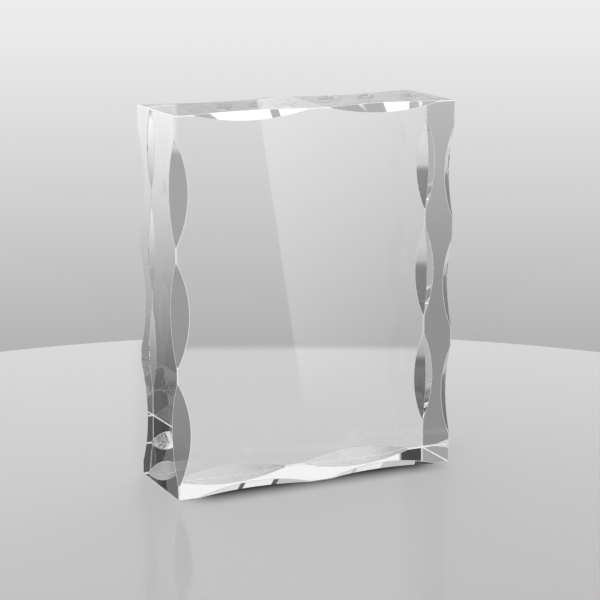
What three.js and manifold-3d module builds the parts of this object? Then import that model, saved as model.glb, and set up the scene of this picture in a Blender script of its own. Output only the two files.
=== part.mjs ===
// A free-standing crystal award: one solid block of clear optical crystal, 4 in wide, 5 in tall and 33 mm thick.
// The block stands upright on its narrow bottom face. Its front and back faces are flat and polished. The eight edges
// round those two faces carry a row of scallops each: three on every upright edge, two on every level edge. A scallop
// is where a grinding wheel was pressed into the edge, so its facet is a piece of a cylinder. It is deepest in the
// middle and runs out to a point at each end. The four edges that run from front to back stay straight.
//
// Frame: millimetres, origin in the middle of the footprint on the table, +X to the viewer's right, +Y away from the
// viewer (the front face looks along -Y) and +Z up.

import * as THREE from "three";
import { mergeVertices } from "three/addons/utils/BufferGeometryUtils.js";
import Module from "manifold-3d";

// ---------------------------------------------------------------------------------------------- driving dimensions

const INCH = 25.4;
const WIDTH = 4 * INCH; // along X
const HEIGHT = 5 * INCH; // along Z
const DEPTH = 33; // along Y
const ARRIS = 0.35; // the fine chamfer that takes the sharpness off every straight edge

// How each side's scallops were cut. The same cut is made on the front edge and on the back edge of a side.
// onFace is the scallop's greatest width on the front or back face, onSide on the side, top or bottom face.
// length is measured along the edge, pitch from one scallop's middle to the next, and middle is the middle of the
// row: a height above the table on the upright sides, and an X on the top and the bottom.
// The rows differ a little, because the wheel is held by hand.
const SIDES = {
  left: { outward: [-1, 0, 0], count: 3, length: 35.6, pitch: 40.0, middle: 62.2, onFace: 4.5, onSide: 5.2 },
  right: { outward: [1, 0, 0], count: 3, length: 32.4, pitch: 38.2, middle: 64.3, onFace: 3.6, onSide: 3.4 },
  top: { outward: [0, 0, 1], count: 2, length: 41.8, pitch: 48.0, middle: 0, onFace: 2.7, onSide: 3.9 },
  bottom: { outward: [0, 0, -1], count: 2, length: 42.4, pitch: 47.8, middle: 0.6, onFace: 3.3, onSide: 3.6 },
};

const WHEEL_SIDES = 240; // flats round a full wheel, 1.5 degrees each
const WHEEL_WIDTH = 16; // wider than any facet, so the wheel reaches past both faces of the edge it cuts

const CRYSTAL = { color: 0xeef1f2, roughness: 0.03, metalness: 0, transparent: true, opacity: 0.35 };

// ------------------------------------------------------------------------------------------------------ solid tools

const wasm = await Module();
wasm.setup();

// A three.js geometry, moved by a matrix, as a manifold-3d solid.
function solidFrom(geometry, matrix = new THREE.Matrix4()) {
  const bare = geometry.clone().applyMatrix4(matrix);
  bare.deleteAttribute("normal");
  bare.deleteAttribute("uv");
  const merged = mergeVertices(bare, 1e-4);
  return new wasm.Manifold(
    new wasm.Mesh({
      numProp: 3,
      vertProperties: merged.attributes.position.array,
      triVerts: new Uint32Array(merged.index.array),
    }),
  );
}

// A manifold-3d solid as a three.js geometry.
function geometryFrom(solid) {
  const mesh = solid.getMesh();
  return new THREE.BufferGeometry()
    .setAttribute("position", new THREE.BufferAttribute(mesh.vertProperties, 3))
    .setIndex(new THREE.BufferAttribute(mesh.triVerts, 1));
}

// ------------------------------------------------------------------------------------------------------- the blank

// The sawn and polished blank, before the scallops: a box whose twelve edges all have the fine chamfer.
// The outline is drawn in the front view and pushed through the thickness. ExtrudeGeometry's bevel grows the outline
// by ARRIS on every line, so it starts smaller by that much, with corners that grow into chamfers ARRIS wide.
function blank() {
  const x = WIDTH / 2 - ARRIS;
  const y = HEIGHT / 2 - ARRIS;
  const corner = (Math.SQRT2 - 1) * ARRIS;
  const outline = new THREE.Shape([
    new THREE.Vector2(x, -y + corner),
    new THREE.Vector2(x, y - corner),
    new THREE.Vector2(x - corner, y),
    new THREE.Vector2(-x + corner, y),
    new THREE.Vector2(-x, y - corner),
    new THREE.Vector2(-x, -y + corner),
    new THREE.Vector2(-x + corner, -y),
    new THREE.Vector2(x - corner, -y),
  ]);
  const geometry = new THREE.ExtrudeGeometry(outline, {
    depth: DEPTH - 2 * ARRIS,
    bevelEnabled: true,
    bevelThickness: ARRIS,
    bevelSize: ARRIS,
    bevelSegments: 1,
  });
  const centred = new THREE.Matrix4().makeTranslation(0, 0, -(DEPTH - 2 * ARRIS) / 2);
  const upright = new THREE.Matrix4().makeRotationX(Math.PI / 2);
  const onTable = new THREE.Matrix4().makeTranslation(0, 0, HEIGHT / 2);
  return solidFrom(geometry, onTable.multiply(upright).multiply(centred));
}

// ----------------------------------------------------------------------------------------------------- the scallops

// The grinding wheel where it cuts one scallop. corner is the point of the uncut edge in the middle of the scallop.
// faceNormal and sideNormal are the outward normals of the two faces that meet at that edge.
// The cut's cross-section is a straight line from onFace along one face to onSide along the other. Its depth below
// the corner and the scallop's length together give the wheel's radius, by the rule for a chord and its rise.
function wheel(corner, faceNormal, sideNormal, { length, onFace, onSide }) {
  const across = Math.hypot(onFace, onSide);
  const depth = (onFace * onSide) / across;
  const radius = (depth ** 2 + (length / 2) ** 2) / (2 * depth);
  const outward = faceNormal
    .clone()
    .multiplyScalar(onFace)
    .addScaledVector(sideNormal, onSide)
    .divideScalar(across);
  const axle = sideNormal
    .clone()
    .multiplyScalar(onFace)
    .addScaledVector(faceNormal, -onSide)
    .divideScalar(across);
  const along = new THREE.Vector3().crossVectors(axle, outward);
  const centre = corner.clone().addScaledVector(outward, radius - depth);
  const place = new THREE.Matrix4().makeBasis(along, axle, outward).setPosition(centre);
  return solidFrom(new THREE.CylinderGeometry(radius, radius, WHEEL_WIDTH, WHEEL_SIDES), place);
}

// The corner points in the middle of each scallop of one row, on the side's edge at the front or at the back.
function scallopCorners(side, faceNormal) {
  const outward = new THREE.Vector3(...side.outward);
  const upright = outward.x !== 0;
  return Array.from({ length: side.count }, (_, i) => {
    const along = side.middle + (i - (side.count - 1) / 2) * side.pitch;
    return new THREE.Vector3(
      upright ? (outward.x * WIDTH) / 2 : along,
      (faceNormal.y * DEPTH) / 2,
      upright ? along : ((outward.z + 1) * HEIGHT) / 2,
    );
  });
}

function crystalBlock() {
  let solid = blank();
  const faces = [new THREE.Vector3(0, -1, 0), new THREE.Vector3(0, 1, 0)];
  for (const side of Object.values(SIDES)) {
    const sideNormal = new THREE.Vector3(...side.outward);
    for (const faceNormal of faces) {
      for (const corner of scallopCorners(side, faceNormal)) {
        solid = solid.subtract(wheel(corner, faceNormal, sideNormal, side));
      }
    }
  }
  const mesh = new THREE.Mesh(geometryFrom(solid), new THREE.MeshStandardMaterial(CRYSTAL));
  mesh.name = "crystal_block";
  return mesh;
}

// -------------------------------------------------------------------------------------------------------- the award

const award = new THREE.Group();
award.name = "crystal_award";
award.add(crystalBlock());

export default award;
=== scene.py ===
# %% [markdown]
# # A scalloped crystal award
#
# The object is one solid block of clear optical crystal that stands on its narrow bottom face. There is
# nothing to assemble, so all of the work is in three things: the cut of its edges, the clarity of its
# faces, and the studio round it. Clear glass has no colour of its own. It shows its surroundings, bent
# and mirrored, so here the room is built as carefully as the block.
#
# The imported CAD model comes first. It fixes the size and the place of everything that follows.

import math

import bmesh
import bpy
import numpy as np
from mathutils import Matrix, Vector


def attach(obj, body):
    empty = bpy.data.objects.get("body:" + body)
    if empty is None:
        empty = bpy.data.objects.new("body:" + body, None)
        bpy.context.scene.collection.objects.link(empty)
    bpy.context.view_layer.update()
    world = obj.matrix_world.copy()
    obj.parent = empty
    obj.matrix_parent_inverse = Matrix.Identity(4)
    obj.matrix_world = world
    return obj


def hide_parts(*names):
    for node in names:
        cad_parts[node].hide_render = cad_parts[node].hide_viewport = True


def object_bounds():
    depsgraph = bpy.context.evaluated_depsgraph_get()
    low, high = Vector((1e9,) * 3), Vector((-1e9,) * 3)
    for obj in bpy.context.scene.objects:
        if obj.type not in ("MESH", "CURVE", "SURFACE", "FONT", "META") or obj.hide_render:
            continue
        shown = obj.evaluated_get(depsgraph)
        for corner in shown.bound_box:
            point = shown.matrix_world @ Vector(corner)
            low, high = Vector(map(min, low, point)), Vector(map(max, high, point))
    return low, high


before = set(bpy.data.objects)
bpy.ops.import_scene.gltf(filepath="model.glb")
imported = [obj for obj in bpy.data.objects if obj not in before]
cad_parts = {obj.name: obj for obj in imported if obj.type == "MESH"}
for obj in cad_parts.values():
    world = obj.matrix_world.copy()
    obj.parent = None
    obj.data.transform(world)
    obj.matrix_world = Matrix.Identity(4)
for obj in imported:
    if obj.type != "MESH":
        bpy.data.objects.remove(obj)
cad_low, cad_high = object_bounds()
width, depth, height = cad_high - cad_low
centre = (cad_low + cad_high) / 2
MM = 0.001
print(f"CAD block: {width / MM:.1f} x {depth / MM:.1f} x {height / MM:.1f} mm")

# %% [markdown]
# ## The camera
#
# The camera looks at the award from its front left and from a little above. It could stand close, with a
# short lens, but then the block would taper. A long lens from further away keeps the upright edges nearly
# parallel. The distance and the aim are counted in heights of the block, so they follow the block's size.

# %% Camera
VIEW_AZIMUTH = math.radians(-25.29)  # 0 looks straight at the front face
VIEW_ELEVATION = math.radians(12.74)
VIEW_DISTANCE = 5.190 * height
AIM_RIGHT, AIM_UP = 0.0065 * height, -0.0300 * height
LENS_MM = 116.4
NEAREST, FARTHEST = 0.01, 20  # metres in front of the camera

back = Vector(
    (
        math.sin(VIEW_AZIMUTH) * math.cos(VIEW_ELEVATION),
        -math.cos(VIEW_AZIMUTH) * math.cos(VIEW_ELEVATION),
        math.sin(VIEW_ELEVATION),
    )
)
camera_turn = (-back).to_track_quat("-Z", "Y")
aim = centre + camera_turn @ Vector((AIM_RIGHT, AIM_UP, 0))

camera = bpy.data.objects.new("camera", bpy.data.cameras.new("camera"))
bpy.context.scene.collection.objects.link(camera)
camera.data.lens = LENS_MM
camera.data.clip_start, camera.data.clip_end = NEAREST, FARTHEST
camera.location = aim + back * VIEW_DISTANCE
camera.rotation_mode = "QUATERNION"
camera.rotation_quaternion = camera_turn
bpy.context.scene.camera = camera
bpy.context.scene.view_settings.view_transform = "Standard"
print(f"camera {VIEW_DISTANCE:.3f} m away, {camera.location.z:.3f} m above the floor")

# %% [markdown]
# ## Writing shaders as sums
#
# A node tree is easier to read as an expression. `Wire` stands for one output socket. Adding or
# multiplying wires adds a Math node and gives back the wire of its result, and `Bench.node` makes any
# other node.

# %% Shader expressions
class Wire:
    """The output of a node, with the usual arithmetic. Each operation adds one Math node."""

    def __init__(self, bench, socket):
        self.bench, self.socket = bench, socket

    def out(self, name):
        """Another output of the same node."""
        return Wire(self.bench, self.socket.node.outputs[name])

    def maths(self, operation, *values):
        """A Math node of that operation, on this wire and the values."""
        inputs = dict(enumerate([self, *values]))
        return self.bench.node("ShaderNodeMath", {"operation": operation}, inputs)

    def __add__(self, other):
        return self.maths("ADD", other)

    def __mul__(self, other):
        return self.maths("MULTIPLY", other)

    def __sub__(self, other):
        return self.maths("SUBTRACT", other)

    def __truediv__(self, other):
        return self.maths("DIVIDE", other)

    def __pow__(self, other):
        return self.maths("POWER", other)

    def __rsub__(self, other):
        return self * -1 + other

    __radd__, __rmul__ = __add__, __mul__

    def step(self, start, end, low=0.0, high=1.0):
        """Runs smoothly from low, where the wire is at start, to high, where it is at end."""
        inputs = {"Value": self, "From Min": start, "From Max": end, "To Min": low, "To Max": high}
        return self.bench.node("ShaderNodeMapRange", {"interpolation_type": "SMOOTHSTEP"}, inputs)

    def ramp(self, start, end, low=0.0, high=1.0):
        """The same, but straight from low to high, and level beyond them."""
        inputs = {"Value": self, "From Min": start, "From Max": end, "To Min": low, "To Max": high}
        return self.bench.node("ShaderNodeMapRange", {"interpolation_type": "LINEAR"}, inputs)

    def window(self, low, high, soft):
        """1 between low and high, and 0 outside, with edges that take soft to pass."""
        return self.step(low - soft, low) * (1 - self.step(high, high + soft))


class Bench:
    """Makes the nodes of one tree."""

    def __init__(self, tree):
        self.tree = tree
        tree.nodes.clear()

    def node(self, kind, settings=None, inputs=None):
        """A node of that kind: its settings first, then its sockets' values or wires."""
        made = self.tree.nodes.new(kind)
        for name, value in (settings or {}).items():
            setattr(made, name, value)
        for name, value in (inputs or {}).items():
            if isinstance(value, Wire):
                self.tree.links.new(value.socket, made.inputs[name])
            else:
                made.inputs[name].default_value = value
        if not made.outputs:
            return made
        return Wire(self, next(s for s in made.outputs if s.enabled))

    def mix(self, amount, low, high):
        """The mix of two shaders."""
        return self.node("ShaderNodeMixShader", inputs={0: amount, 1: low, 2: high})

    def grey(self, level):
        """A grey colour of that brightness, from a wire."""
        return self.node("ShaderNodeCombineColor", inputs={0: level, 1: level, 2: level})


print("a wire understands + - * / ** and 1 - wire")

# %% [markdown]
# ## The floor
#
# The award stands on a round table top of pale, faintly glossy board. It is a profile spun about an
# upright axis: flat on top, with a small rolled edge. It could be one flat square, but the far edge of a
# round top gives the calm arc that glass is usually shown in front of.

# %% Floor shape
FLOOR_GAP = 0.15 * MM
FLOOR_RADIUS = 289 * MM
FLOOR_EDGE = 2 * MM
FLOOR_THICKNESS = 12 * MM
FLOOR_FORWARD = 94 * MM  # how far the disc's middle is in front of the block, towards the camera
FLOOR_TURNS, EDGE_POINTS = 256, 7  # points round the disc, and round its rolled edge


def spun(profile, turns):
    """A closed surface of revolution: each (radius, height) point of the profile goes round the Z axis in
    equal steps, as x = radius cos(angle) and y = radius sin(angle). The two end points are on the axis."""
    radius, level = np.asarray(profile, float).T
    angle = np.linspace(0, 2 * math.pi, turns, endpoint=False)
    ring = np.stack(
        [
            np.outer(radius[1:-1], np.cos(angle)),
            np.outer(radius[1:-1], np.sin(angle)),
            np.repeat(level[1:-1, None], turns, 1),
        ],
        axis=-1,
    ).reshape(-1, 3)
    points = np.vstack([ring, [(0, 0, level[0]), (0, 0, level[-1])]])
    here = np.arange(turns)
    there = np.roll(here, -1)
    rows = len(radius) - 2
    start = np.arange(rows - 1)[:, None] * turns
    quads = np.stack([start + here, start + there, start + there + turns, start + here + turns], -1)
    last = (rows - 1) * turns
    top = np.stack([there, here, np.full(turns, len(ring))], 1)
    bottom = np.stack([here + last, there + last, np.full(turns, len(ring) + 1)], 1)
    return points, [*quads.reshape(-1, 4), *top, *bottom]


def new_object(name, points, faces, materials):
    """An object at the origin, made of those points and faces, with a list of materials."""
    mesh = bpy.data.meshes.new(name)
    mesh.from_pydata(np.asarray(points).tolist(), [], [tuple(map(int, f)) for f in faces])
    for material in materials:
        mesh.materials.append(material)
    made = bpy.data.objects.new(name, mesh)
    bpy.context.scene.collection.objects.link(made)
    return made


def new_material(name):
    """A new material, and the bench that its nodes are made on."""
    material = bpy.data.materials.new(name)
    material.use_nodes = True
    return material, Bench(material.node_tree)


roll = np.radians(np.linspace(90, 0, EDGE_POINTS))
rolled_edge = FLOOR_EDGE * np.stack([np.cos(roll) - 1, np.sin(roll) - 1], 1) + [FLOOR_RADIUS, 0]
profile = [(0, 0), *rolled_edge, (FLOOR_RADIUS, -FLOOR_THICKNESS), (0, -FLOOR_THICKNESS)]
points, faces = spun(profile, FLOOR_TURNS)
forward = Vector((math.sin(VIEW_AZIMUTH), -math.cos(VIEW_AZIMUTH), 0))
points += np.array(forward * FLOOR_FORWARD) + [0, 0, cad_low.z - FLOOR_GAP]
floor = new_object("floor", points, faces, [])
print(f"floor: {len(points)} points, {2 * FLOOR_RADIUS / MM:.0f} mm across")

# %% [markdown]
# ## The board
#
# The board is a mix of two shaders, a matt one and a weak mirror, in a fixed share. A plain glossy board
# would mirror more and more towards the horizon and show the award too strongly upside down. Its colour
# is painted lighter at the back and darker at the front, a painted fall-off of light as from a main light
# behind the award. The lamps further on throw no shadows, so the soft dark line that a real block has
# along its foot is a shadow painted on the board: it follows the distance from the block's footprint.

# %% Board material
MIRROR_SHARE = 0.075
MIRROR_ROUGHNESS = 0.05, 0.09
BOARD_FRONT, BOARD_BACK = 0.390, 0.54  # pale colour with painted light, at the near and the far end
BOARD_REACH = 180 * MM  # from the award to where each of these is reached
GRAIN_SCALE = 900.0
GRAIN_LOW, GRAIN_HIGH = 0.2, 0.8  # the noise's own values at its darkest and palest spots
GRAIN_PALENESS = 0.99, 1.01
SHADOW_DEPTH = 0.97
SHADOW_FROM, SHADOW_TO = -5.5 * MM, 10 * MM  # distances from the footprint's outline, inwards and outwards
SHADOW_ENDS = 14 * MM  # the shadow runs out over this length at each end of the block

board, bench = new_material("pale_board")
place = bench.node("ShaderNodeTexCoord").out("Object")
axis = bench.node("ShaderNodeSeparateXYZ", inputs={0: place})
towards_back = axis.out("X") * -forward.x + axis.out("Y") * -forward.y
beside = axis.out("X").maths("ABSOLUTE") - width / 2
before = axis.out("Y").maths("ABSOLUTE") - depth / 2
outside = (beside.maths("MAXIMUM", 0) ** 2 + before.maths("MAXIMUM", 0) ** 2).maths("SQRT")
inside = beside.maths("MAXIMUM", before).maths("MINIMUM", 0)
clear_ends = axis.out("X").maths("ABSOLUTE").step(width / 2 - SHADOW_ENDS, width / 2, 1, 0)
shade = (outside + inside).step(SHADOW_FROM, SHADOW_TO, SHADOW_DEPTH, 0) * clear_ends
grain = bench.node("ShaderNodeTexNoise", inputs={"Vector": place, "Scale": GRAIN_SCALE, "Detail": 4.0})
# painted light: the board is painted darker towards the front and paler towards the back
painted_falloff = towards_back.ramp(-BOARD_REACH, BOARD_REACH, BOARD_FRONT, BOARD_BACK)
paleness_and_painted_light = painted_falloff * grain.step(GRAIN_LOW, GRAIN_HIGH, *GRAIN_PALENESS)
matt = bench.node("ShaderNodeBsdfDiffuse", inputs={"Color": bench.grey(paleness_and_painted_light)})
haze = grain.step(GRAIN_LOW, GRAIN_HIGH, *MIRROR_ROUGHNESS)
mirror = bench.node("ShaderNodeBsdfGlossy", inputs={"Color": (1, 1, 1, 1), "Roughness": haze})
dark = bench.node("ShaderNodeBsdfDiffuse", inputs={"Color": (0, 0, 0, 1)})
surface = bench.mix(shade, bench.mix(MIRROR_SHARE, matt, mirror), dark)
bench.node("ShaderNodeOutputMaterial", inputs={"Surface": surface})
floor.data.materials.append(board)
print(f"board: {MIRROR_SHARE:.1%} mirror, paleness {BOARD_FRONT} to {BOARD_BACK}")

# %% [markdown]
# ## The studio
#
# The room is painted on the world by direction: how high above the horizon, and how far round. The camera
# sees only a plain wall that gets lighter upwards. The crystal sees the whole room: cards, lamps, dark
# gaps and a floor that reaches the horizon. Glass needs both the bright and the dark. Without bright
# panels its edges don't sparkle, and without dark ones they don't show.
#
# The room could be built of real cards and lamps that stand round the award. Painting it by direction is
# lighter, puts every card exactly where a facet looks, and leaves nothing for the camera to run into. The
# painted floor also takes the place of the table top in the glass, where the edge of the real one would
# draw a second line.

# %% The painted room
WALL = [(-34, 0.41), (-13.8, 0.462), (-4.8, 0.83), (2, 0.92)]  # elevation in degrees, brightness
ROOM = [
    (-90, 0.50),
    (-40, 0.52),
    (-25, 0.56),
    (-14.25, 0.65),
    (-14.05, 0.455),
    (-4.8, 0.83),
    (2, 0.80),
    (5, 0.62),
    (20, 0.60),
    (90, 0.50),
]

# Each panel: azimuth from, to (0 is behind the award, 90 to its right), elevation from, to, how soft its
# upright and its level edges are, and its brightness at the bottom and at the top. Angles are in degrees.
# A later panel covers an earlier one.
PANELS = [
    ("unlit room in front", 85, 275, 3, 90, 8, 4, 0.10, 0.10),
    ("dim floor in front", 85, 275, -90, -1, 8, 4, 0.55, 0.35),
    ("light high on the left", -150, -64, 39, 64, 3, 2, 0.95, 0.95),
    ("back softbox", -64, 64, 37, 76, 2, 1.5, 1.00, 1.00),
    ("light overhead", -180, 180, 62, 90, 5, 3, 0.85, 0.85),
    ("dark gap on the left", -70, -36, -1, 33, 4, 4, 0.02, 0.02),
    ("dark gap on the right", 54, 78, 8, 24, 3, 3, 0.18, 0.18),
    ("bright card behind", 21.62, 28.4, 12, 26, 0.1, 2, 0.97, 0.97),
    ("stand of the card", 28.45, 29.5, 15.5, 17.9, 0.15, 0.3, 0.05, 0.05),
    ("card behind on the left", -34, 20.3, 12, 37, 0.1, 2, 0.85, 0.85),
    ("grey card low on the left", -33, -24, 12, 26, 2, 2, 0.38, 0.38),
    ("slot between the cards", 20.35, 21.5, 13, 18.8, 0.05, 0.3, 0.10, 0.05),
    ("shade behind, high", 15, 21.5, -15.5, -6.5, 0.1, 0.5, 0.14, 1.05),
    ("shade behind, low", 15, 21.5, -24, -15.4, 0.1, 1, 0.15, 0.15),
    ("grey left side", -130, -80, -40, 20, 8, 6, 0.42, 0.48),
    ("pale wall on the left", -99, -78, -14, 8, 3, 3, 0.66, 0.78),
    ("floor in front, on the right", 100, 140, -60, -6, 6, 3, 0.60, 0.55),
    ("grey right side", 61, 80, -30, 3, 2, 4, 0.34, 0.34),
    ("grey card on the right", 48, 56.5, -28, 0, 2, 3, 0.42, 0.42),
    ("bright strip on the right", 56.6, 60, -17, -2, 0.4, 3, 0.60, 1.15),
    ("strip on the left, low", -33, -24, -30, -12, 0.4, 1, 0.28, 0.28),
    ("strip on the left, high", -33, -24, -12, -4, 0.4, 1, 0.29, 0.62),
    ("second strip on the left, low", -23.4, -14, -30, -12.5, 0.4, 1, 0.01, 0.12),
    ("second strip on the left, high", -23.4, -14, -12.5, -4, 0.4, 1, 0.16, 1.05),
    ("grey middle", -12, 8, -32, -10.5, 4, 2, 0.22, 0.28),
    ("white card low on the left", -126, -108, -34, -22, 3, 3, 0.90, 0.90),
    ("white screen in front, low", 158.4, 166, -17, -13, 0.1, 0.5, 0.12, 0.44),
    ("white screen in front, high", 158.4, 166, -13, -2, 0.1, 0.5, 0.48, 1.35),
    ("screen in front, left", -168, -150, -16, -4, 3, 3, 0.15, 0.75),
    ("floor near the block", 16, 50, -52, -42, 6, 0.4, 0.40, 0.45),
    ("lamp mirrored in the floor", 22, 33, -44.7, -38, 3, 0.2, 1.25, 1.25),
    ("its second part", 33, 38.4, -43.6, -38, 0.4, 0.2, 1.25, 1.25),
    ("its third part", 40.8, 52, -44.2, -38, 0.4, 0.2, 1.25, 1.25),
]

# The lit screen that the front face mirrors. It covers an upright stretch of the room between two azimuths.
# Its lit part ends in a sharp edge that leans a little, and fades away from that edge.
SCREEN_FROM, SCREEN_TO = 151.0, 158.3
SCREEN_EDGE, SCREEN_EDGE_AT = 155.8, -8  # the edge's azimuth, at this elevation
SCREEN_LEAN = 0.153  # degrees of azimuth to a degree of elevation
SCREEN_BASE, SCREEN_GLOW = 0.33, 1.0  # brightness of the unlit part, and what the light adds at the edge
SCREEN_RISE = -16, -3, 2  # elevation from, to, and how soft
GLOW_RISE = -13.5, -4, 3
SHARP = 0.1  # degrees that a sharp edge takes
print(f"studio: {len(PANELS)} panels and a lit screen")

# %% [markdown]
# ### From panels to nodes
#
# Each panel is a mask over the room: 1 inside its two ranges of angles and 0 outside. Azimuth jumps from
# 180 to -180 degrees in front of the award, so a panel's mask is taken from the shortest turn between a
# direction and the panel's middle. An image wrapped round the room could do all this, but it would have to
# be enormous to keep edges of a tenth of a degree.

# %% World
world = bpy.data.worlds.new("studio")
bpy.context.scene.world = world
world.use_nodes = True
bench = Bench(world.node_tree)
towards = bench.node("ShaderNodeTexCoord").out("Generated")  # on a world, the direction looked in
direction = bench.node("ShaderNodeSeparateXYZ", inputs={0: towards})
elevation = direction.out("Z").maths("ARCSINE") * math.degrees(1)
azimuth = direction.out("X").maths("ARCTAN2", direction.out("Y")) * math.degrees(1)


def graded(stops):
    """Brightness by elevation: straight from each stop to the next."""
    total = stops[0][1]
    for (low, dim), (high, bright) in zip(stops, stops[1:]):
        total = elevation.ramp(low, high, 0, bright - dim) + total
    return total


wall, room = graded(WALL), graded(ROOM)
for name, turn_from, turn_to, rise_from, rise_to, soft_turn, soft_rise, at_bottom, at_top in PANELS:
    half = (turn_to - turn_from) / 2
    mask = elevation.window(rise_from, rise_to, soft_rise)
    if half < 180:
        turned = (azimuth - (turn_from + turn_to) / 2 + 540).maths("FLOORED_MODULO", 360) - 180
        mask = turned.maths("ABSOLUTE").step(half + soft_turn, half) * mask
    room = room * (1 - mask) + elevation.ramp(rise_from, rise_to, at_bottom, at_top) * mask

edge = (elevation - SCREEN_EDGE_AT) * SCREEN_LEAN + SCREEN_EDGE
fade = ((azimuth - SCREEN_FROM) / (edge - SCREEN_FROM)).maths("MAXIMUM", 0)
glow = (1 - (azimuth - edge).step(-SHARP / 2, SHARP / 2)) * fade * elevation.window(*GLOW_RISE)
mask = azimuth.window(SCREEN_FROM, SCREEN_TO, SHARP) * elevation.window(*SCREEN_RISE)
room = room * (1 - mask) + (glow * SCREEN_GLOW + SCREEN_BASE) * mask

seen_by_camera = bench.node("ShaderNodeLightPath").out("Is Camera Ray")
shown = room * (1 - seen_by_camera) + wall * seen_by_camera
background = bench.node("ShaderNodeBackground", inputs={"Color": (1, 1, 1, 1), "Strength": shown})
bench.node("ShaderNodeOutputWorld", inputs={"Surface": background})
floor.visible_transmission = False
floor.visible_glossy = False
print(f"world: {len(world.node_tree.nodes)} nodes")

# %% [markdown]
# ## Lamps for the matt surfaces
#
# The painted room lights the glass. The board and the ground arrises are matt, and so in part are the
# satin facets. Two wide lamps light them evenly: one high behind the award, and one high in front of it on
# the left. Softboxes close to the award would do the same, but less evenly, so these are as far away as a
# sun. They throw no shadows and don't show in the glass, because the painted room already holds every
# reflection.

# %% Lamps
LAMPS = {"lamp_behind": (20, 55, 1.3), "lamp_in_front": (205, 40, 1.8)}  # azimuth, elevation, strength
LAMP_SPREAD = math.radians(40)

for name, (turn, rise, strength) in LAMPS.items():
    lamp = bpy.data.lights.new(name, "SUN")
    lamp.energy = strength
    lamp.angle = LAMP_SPREAD
    lamp.use_shadow = False
    made = bpy.data.objects.new(name, lamp)
    bpy.context.scene.collection.objects.link(made)
    turn, rise = math.radians(turn), math.radians(rise)
    source = Vector((math.sin(turn) * math.cos(rise), math.cos(turn) * math.cos(rise), math.sin(rise)))
    made.rotation_mode = "QUATERNION"
    made.rotation_quaternion = source.to_track_quat("Z", "Y")
    made.visible_glossy = False
    made.visible_transmission = False
print(f"lamps: {', '.join(LAMPS)}")

# %% [markdown]
# ## The cut of an edge
#
# A scallop is made by pressing a grinding wheel into an edge of the block. The facet that is left is a
# piece of a cylinder. Along the edge its depth follows the wheel's circle, and across the edge it is a
# straight line from one face to the other. So one function of the place along the edge gives both of its
# borders. The thin arris that softens every remaining sharp line is part of the same cross-section. A
# boolean cut would give the same facets with long thin triangles round them, and glass shows every one of
# those.

# %% Rows of scallops
# For each side: its outward direction, how many scallops, their length and pitch, the middle of the row (a
# height on an upright side, an X on a level one), and a scallop's greatest width on the big face and on the
# side. Lengths are in mm.
ROWS = {
    "left": ((-1, 0, 0), 3, 35.6, 40.0, 62.2, 4.5, 5.2),
    "right": ((1, 0, 0), 3, 32.4, 38.2, 64.3, 3.6, 3.4),
    "top": ((0, 0, 1), 2, 41.8, 48.0, 0.0, 2.7, 3.9),
    "bottom": ((0, 0, -1), 2, 42.4, 47.8, 0.6, 3.3, 3.6),
}
ARRIS = 0.36 * MM  # radius of the round on every sharp line, which is made of three flats of 30 degrees
STATION = 0.4 * MM  # about the distance between cross-sections
COS30, SIN30 = math.cos(math.radians(30)), 0.5
LEAST = ARRIS * (2 - COS30 - SIN30)  # from the corner to where the round's middle flat would meet a face
FLAT_END = math.sqrt(2) * (1 - COS30) * ARRIS  # what the round takes off each end of that flat's line
CUT_FROM = 1.05 * LEAST  # a width that only a scallop reaches
half_size = np.array([width, depth, height]) / 2
middle = np.array(centre)


def scallop_widths(along, row):
    """The facet's widths on the big face and on the side, at each place along the edge. The wheel's circle
    is sunk below the uncut corner by the sagitta: depth = sqrt(R^2 - u^2) - (R - deepest), where u is the
    distance from the scallop's middle. Each width is that depth divided by the sine of the angle that the
    facet makes with the face, and never less than the arris needs."""
    _, count, length, pitch, row_middle, on_face, on_side = row
    across = math.hypot(on_face, on_side)
    deepest = on_face * on_side / across
    radius = (deepest**2 + (length / 2) ** 2) / (2 * deepest)
    middles = row_middle + (np.arange(count) - (count - 1) / 2) * pitch
    u = np.abs(along[:, None] / MM - middles).min(1)
    sunk = np.sqrt(radius**2 - u**2) - (radius - deepest)
    return np.maximum(sunk * across / on_side * MM, LEAST), np.maximum(sunk * across / on_face * MM, LEAST)


def edge_strip(big, side, row):
    """Cross-sections of one scalloped edge, four points each: on the big face, the facet's two borders, and
    on the side. The facet is the line between the two widths, and the arris takes a little of each end."""
    run = np.array([1.0, 1.0, 1.0]) - np.abs(big) - np.abs(side)
    reach = float(half_size @ run) - ARRIS
    stations = np.linspace(-reach, reach, int(2 * reach / STATION) + 1)
    start = middle + big * (half_size @ np.abs(big)) + side * (half_size @ np.abs(side))
    corner = start + stations[:, None] * run
    on_face, on_side = (w[:, None] for w in scallop_widths(corner @ run, row))
    share = FLAT_END / np.hypot(on_face, on_side)
    beyond = ARRIS - LEAST
    strip = [
        corner - (on_face + beyond) * side,
        corner - on_face * (1 - share) * side - on_side * share * big,
        corner - on_face * share * side - on_side * (1 - share) * big,
        corner - (on_side + beyond) * big,
    ]
    return np.stack(strip, 1), on_face[:, 0] > CUT_FROM


strips = {
    (name, sign): edge_strip(np.array([0.0, sign, 0.0]), np.array(row[0], float), row)
    for name, row in ROWS.items()
    for sign in (-1, 1)
}
print("edge strips:", {f"{name} {sign:+d}": len(s[0]) for (name, sign), s in strips.items()})

# %% [markdown]
# ## Closing the block
#
# The eight strips are joined by six flat faces, by four straight arrises that run from front to back, and
# by a small round patch on each corner. The flat faces are single polygons with curved outlines: a flat
# face has to be truly flat, or it would bend what is seen through it. All of the pieces share their
# border points, so once equal points are merged the surface is closed.

# %% A shell that collects its pieces
POLISHED, UPRIGHT_CUT, LEVEL_CUT, SATIN_CUT, ARRISED = range(5)


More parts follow.
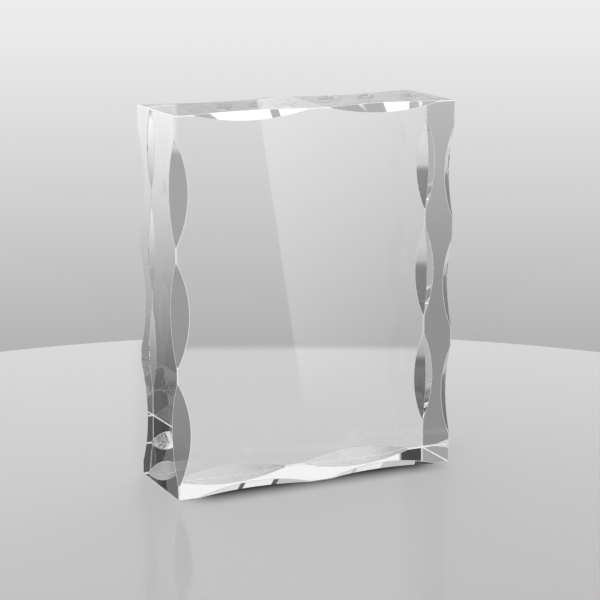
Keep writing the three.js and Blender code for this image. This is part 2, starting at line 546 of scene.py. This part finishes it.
class Shell:
    """Collects points and faces, and merges equal points at the end."""

    def __init__(self):
        self.points, self.faces, self.kinds, self.count = [], [], [], 0

    def add(self, points, faces, kinds):
        """One piece: its points, its faces as numbers of its own points, and the kind of each face."""
        self.points.append(np.asarray(points, float).reshape(-1, 3))
        self.faces += [np.asarray(f) + self.count for f in faces]
        self.kinds += list(kinds)
        self.count += len(self.points[-1])

    def welded(self):
        """Points closer than a hundredth of a micron are one point."""
        points = np.vstack(self.points)
        _, first, merged = np.unique(np.round(points / 1e-8), axis=0, return_index=True, return_inverse=True)
        merged = merged.ravel()
        return points[first], [merged[f] for f in self.faces]


def grid_faces(rows, columns):
    """The quads of a grid of points, row after row."""
    corner = (np.arange(rows - 1)[:, None] * columns + np.arange(columns - 1)).ravel()
    return np.stack([corner, corner + 1, corner + columns + 1, corner + columns], 1)


print("kinds of face: polished, upright cut, level cut, satin cut, arrised")

# %% [markdown]
# ### Edges and flat faces
#
# A strip's middle column of quads is the facet, wherever there is one, and everything else on a strip is
# arris. The six flat faces take their outlines from the strips' outer columns, each corner point once.

# %% Edges and flat faces
shell = Shell()
for (name, sign), (strip, cut) in strips.items():
    n = len(strip)
    cut_kind = UPRIGHT_CUT if name in ("left", "right") else LEVEL_CUT
    if (name, sign) == ("bottom", 1):
        cut_kind = SATIN_CUT
    between = (cut[1:] & cut[:-1]).repeat(3).reshape(-1, 3)
    kinds = np.where(between & np.array([False, True, False]), cut_kind, ARRISED)
    shell.add(strip, grid_faces(n, 4), kinds.ravel())

for sign in (-1, 1):
    loop = [
        strips["bottom", sign][0][:-1, 0],
        strips["right", sign][0][:-1, 0],
        strips["top", sign][0][:0:-1, 0],
        strips["left", sign][0][:0:-1, 0],
    ]
    shell.add(np.vstack(loop), [np.arange(sum(map(len, loop)))], [POLISHED])
for name in ROWS:
    loop = [strips[name, -1][0][:, 3], strips[name, 1][0][::-1, 3]]
    shell.add(np.vstack(loop), [np.arange(sum(map(len, loop)))], [POLISHED])
print(f"strips and flats: {len(shell.faces)} faces")

# %% [markdown]
# ### Straight arrises and corners
#
# The four edges that run from front to back have no scallops, so they are a plain round of three flats. A
# corner is where three such rounds meet. It is a patch of nine small triangles with one point in its
# middle.


# %% Straight arrises and corners
def quarter(first, second):
    """Four directions that turn from the first to the second in equal steps of 30 degrees."""
    angle = np.radians([0, 30, 60, 90])[:, None]
    return np.cos(angle) * first + np.sin(angle) * second


# The patch's ten points are in rows of one, two, three and four. Each line joins one row to the next.
PATCH_FACES = [(0, 1, 2)]
PATCH_FACES += [(1, 3, 4), (1, 4, 2), (2, 4, 5)]
PATCH_FACES += [(3, 6, 7), (3, 7, 4), (4, 7, 8), (4, 8, 5), (5, 8, 9)]

for sx in (-1.0, 1.0):
    for sz in (-1.0, 1.0):
        side, level = np.array([sx, 0, 0]), np.array([0, 0, sz])
        ends = [middle + (half_size - ARRIS) * [sx, sy, sz] for sy in (-1.0, 1.0)]
        bow = quarter(side, level) * ARRIS
        shell.add([end + bow for end in ends], grid_faces(2, 4), [ARRISED] * 3)
        for sy, end in zip((-1.0, 1.0), ends):
            big = np.array([0, sy, 0])
            a_b, b_c, c_a = quarter(big, side), quarter(side, level), quarter(level, big)
            dome = (big + side + level) / math.sqrt(3)
            patch = [a_b[0], a_b[1], c_a[2], a_b[2], dome, c_a[1], b_c[0], b_c[1], b_c[2], b_c[3]]
            shell.add(end + np.array(patch) * ARRIS, PATCH_FACES, [ARRISED] * len(PATCH_FACES))

points, faces = shell.welded()
print(f"block: {len(points)} points, {len(faces)} faces")

# %% [markdown]
# ## The crystal
#
# Optical crystal is a clear, colourless glass with a refractive index of about 1.52. Its flats are
# polished on felt, which leaves them mirror-smooth but for the odd wipe mark. The scallops are polished
# on a wheel, which leaves faint waves and a slight haze. The upright facets are painted grey, for the
# shade that they show where they look past the lamps, and a deeper painted grey towards the foot. The
# two scallops at the back of the foot are left satin, so that they show the calm tone of the board and
# no sparkle. The arrises are only touched on a fine stone, so they stay silky and catch the light as
# thin white lines.
#
# One material with masks could hold all five finishes. Five materials are plainer: every border between
# two finishes is a line of the mesh, and each finish is a few numbers.

# %% Crystal materials
CRYSTAL_INDEX = 1.52
WIPE_SCALE, WAVE_SCALE = 35.0, 60.0
WIPE_LOW, WIPE_HIGH = 0.35, 0.75  # the noise's own values where the roughness is least and greatest
FELT_ROUGHNESS = 0.0, 0.010
WHEEL_ROUGHNESS = 0.004, 0.025
SATIN_ROUGHNESS = 0.26, 0.34
WHEEL_RELIEF = 2e-7  # metres


def crystal(name, tint_and_shade, roughness, relief=0.0, painted_foot_shade=None, clearness=1.0):
    """Clear glass of one colour, tint_and_shade, or of painted shade that runs straight from
    painted_foot_shade at the foot to tint_and_shade at the top. Its roughness comes from noise on the
    block's own coordinates, and so does its relief."""
    material, bench = new_material(name)
    place = bench.node("ShaderNodeTexCoord").out("Object")
    wipe = bench.node("ShaderNodeTexNoise", inputs={"Vector": place, "Scale": WIPE_SCALE, "Detail": 5.0})
    inputs = {
        "Base Color": (tint_and_shade, tint_and_shade, tint_and_shade, 1),
        "Roughness": wipe.step(WIPE_LOW, WIPE_HIGH, *roughness),
        "IOR": CRYSTAL_INDEX,
        "Transmission Weight": clearness,
    }
    if painted_foot_shade is not None:
        level = bench.node("ShaderNodeSeparateXYZ", inputs={0: place}).out("Z")
        inputs["Base Color"] = bench.grey(level.ramp(cad_low.z, cad_high.z, painted_foot_shade, tint_and_shade))
    if relief:
        wave_inputs = {"Vector": place, "Scale": WAVE_SCALE, "Detail": 2.0}
        waves = bench.node("ShaderNodeTexNoise", inputs=wave_inputs)
        inputs["Normal"] = bench.node("ShaderNodeBump", inputs={"Height": waves, "Distance": relief})
    surface = bench.node("ShaderNodeBsdfPrincipled", inputs=inputs)
    bench.node("ShaderNodeOutputMaterial", inputs={"Surface": surface})
    return material


polished = crystal("polished_crystal", 0.99, FELT_ROUGHNESS)
# painted shade: the upright facets are painted grey, 0.18 at the foot to 0.90 at the top, where they look
# past the lamps
upright_cut = crystal("wheel_cut_upright", 0.90, WHEEL_ROUGHNESS, WHEEL_RELIEF, painted_foot_shade=0.18)
level_cut = crystal("wheel_cut_level", 0.92, WHEEL_ROUGHNESS, WHEEL_RELIEF)
satin_cut = crystal("satin_cut", 0.85, SATIN_ROUGHNESS, clearness=0.65)
print(f"clear finishes made, with a refractive index of {CRYSTAL_INDEX}")

# %% [markdown]
# ### The silky arris
#
# A stone-ground line is nearly matt and white. A very little of it stays clear, and its fine relief breaks
# the light up. It could be one more call of the function above, but only this finish has a grain fine
# enough to need a noise of its own.

# %% Arris material
STONE_SCALE = 2500.0
STONE_LOW, STONE_HIGH = 0.3, 0.7
STONE_ROUGHNESS = 0.35, 0.5
STONE_RELIEF = 1e-5  # metres
STONE_CLEARNESS = 0.05

arrised, bench = new_material("silky_arris")
place = bench.node("ShaderNodeTexCoord").out("Object")
stone = bench.node("ShaderNodeTexNoise", inputs={"Vector": place, "Scale": STONE_SCALE, "Detail": 3.0})
bump_inputs = {"Height": stone, "Distance": STONE_RELIEF, "Strength": 0.5}
normal = bench.node("ShaderNodeBump", inputs=bump_inputs)
surface = bench.node(
    "ShaderNodeBsdfPrincipled",
    inputs={
        "Base Color": (1, 1, 1, 1),
        "Roughness": stone.step(STONE_LOW, STONE_HIGH, *STONE_ROUGHNESS),
        "IOR": CRYSTAL_INDEX,
        "Transmission Weight": STONE_CLEARNESS,
        "Normal": normal,
    },
)
bench.node("ShaderNodeOutputMaterial", inputs={"Surface": surface})
finishes = [polished, upright_cut, level_cut, satin_cut, arrised]  # in the order of the kinds of face
print("finishes:", ", ".join(finish.name for finish in finishes))

# %% [markdown]
# ## The finished block
#
# Here the shell becomes an object, and each face gets its finish. The facets are shaded smooth, so that
# their short quads read as one ground curve, and the flats aren't. Smooth shading alone would also bend
# the light beside every border of a facet and make it look like a pillow. So every edge where two
# finishes meet is marked sharp. A bevel modifier could soften those borders, but the arrises already do
# it, in the mesh.
#
# Then the block is tied to the one body of the award and takes the place of the CAD node.

# %% Block object
block = new_object("cut_crystal_block", points, faces, finishes)
kinds = np.array(shell.kinds, np.int32)
block.data.polygons.foreach_set("material_index", kinds)
block.data.polygons.foreach_set("use_smooth", (kinds != POLISHED) & (kinds != ARRISED))

work = bmesh.new()
work.from_mesh(block.data)
bmesh.ops.recalc_face_normals(work, faces=work.faces)
for edge in work.edges:
    edge.smooth = len({face.material_index for face in edge.link_faces}) == 1
open_edges = sum(not e.is_manifold for e in work.edges)
volume = work.calc_volume()
work.to_mesh(block.data)
work.free()
print(f"block: {open_edges} open edges, {volume / MM**3 / 1000:.1f} cm3")

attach(block, "root")
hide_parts("crystal_block")

# %% [markdown]
# ## Light paths
#
# A ray can be mirrored many times inside the block before it gets out, so the path lengths are raised. A
# path that is cut short is black, and would show as soot in the corners.

# %% Path lengths
BOUNCES = 32

paths = bpy.context.scene.cycles
paths.max_bounces = BOUNCES
paths.glossy_bounces = BOUNCES
paths.transmission_bounces = BOUNCES
print(f"light paths: up to {BOUNCES} bounces")
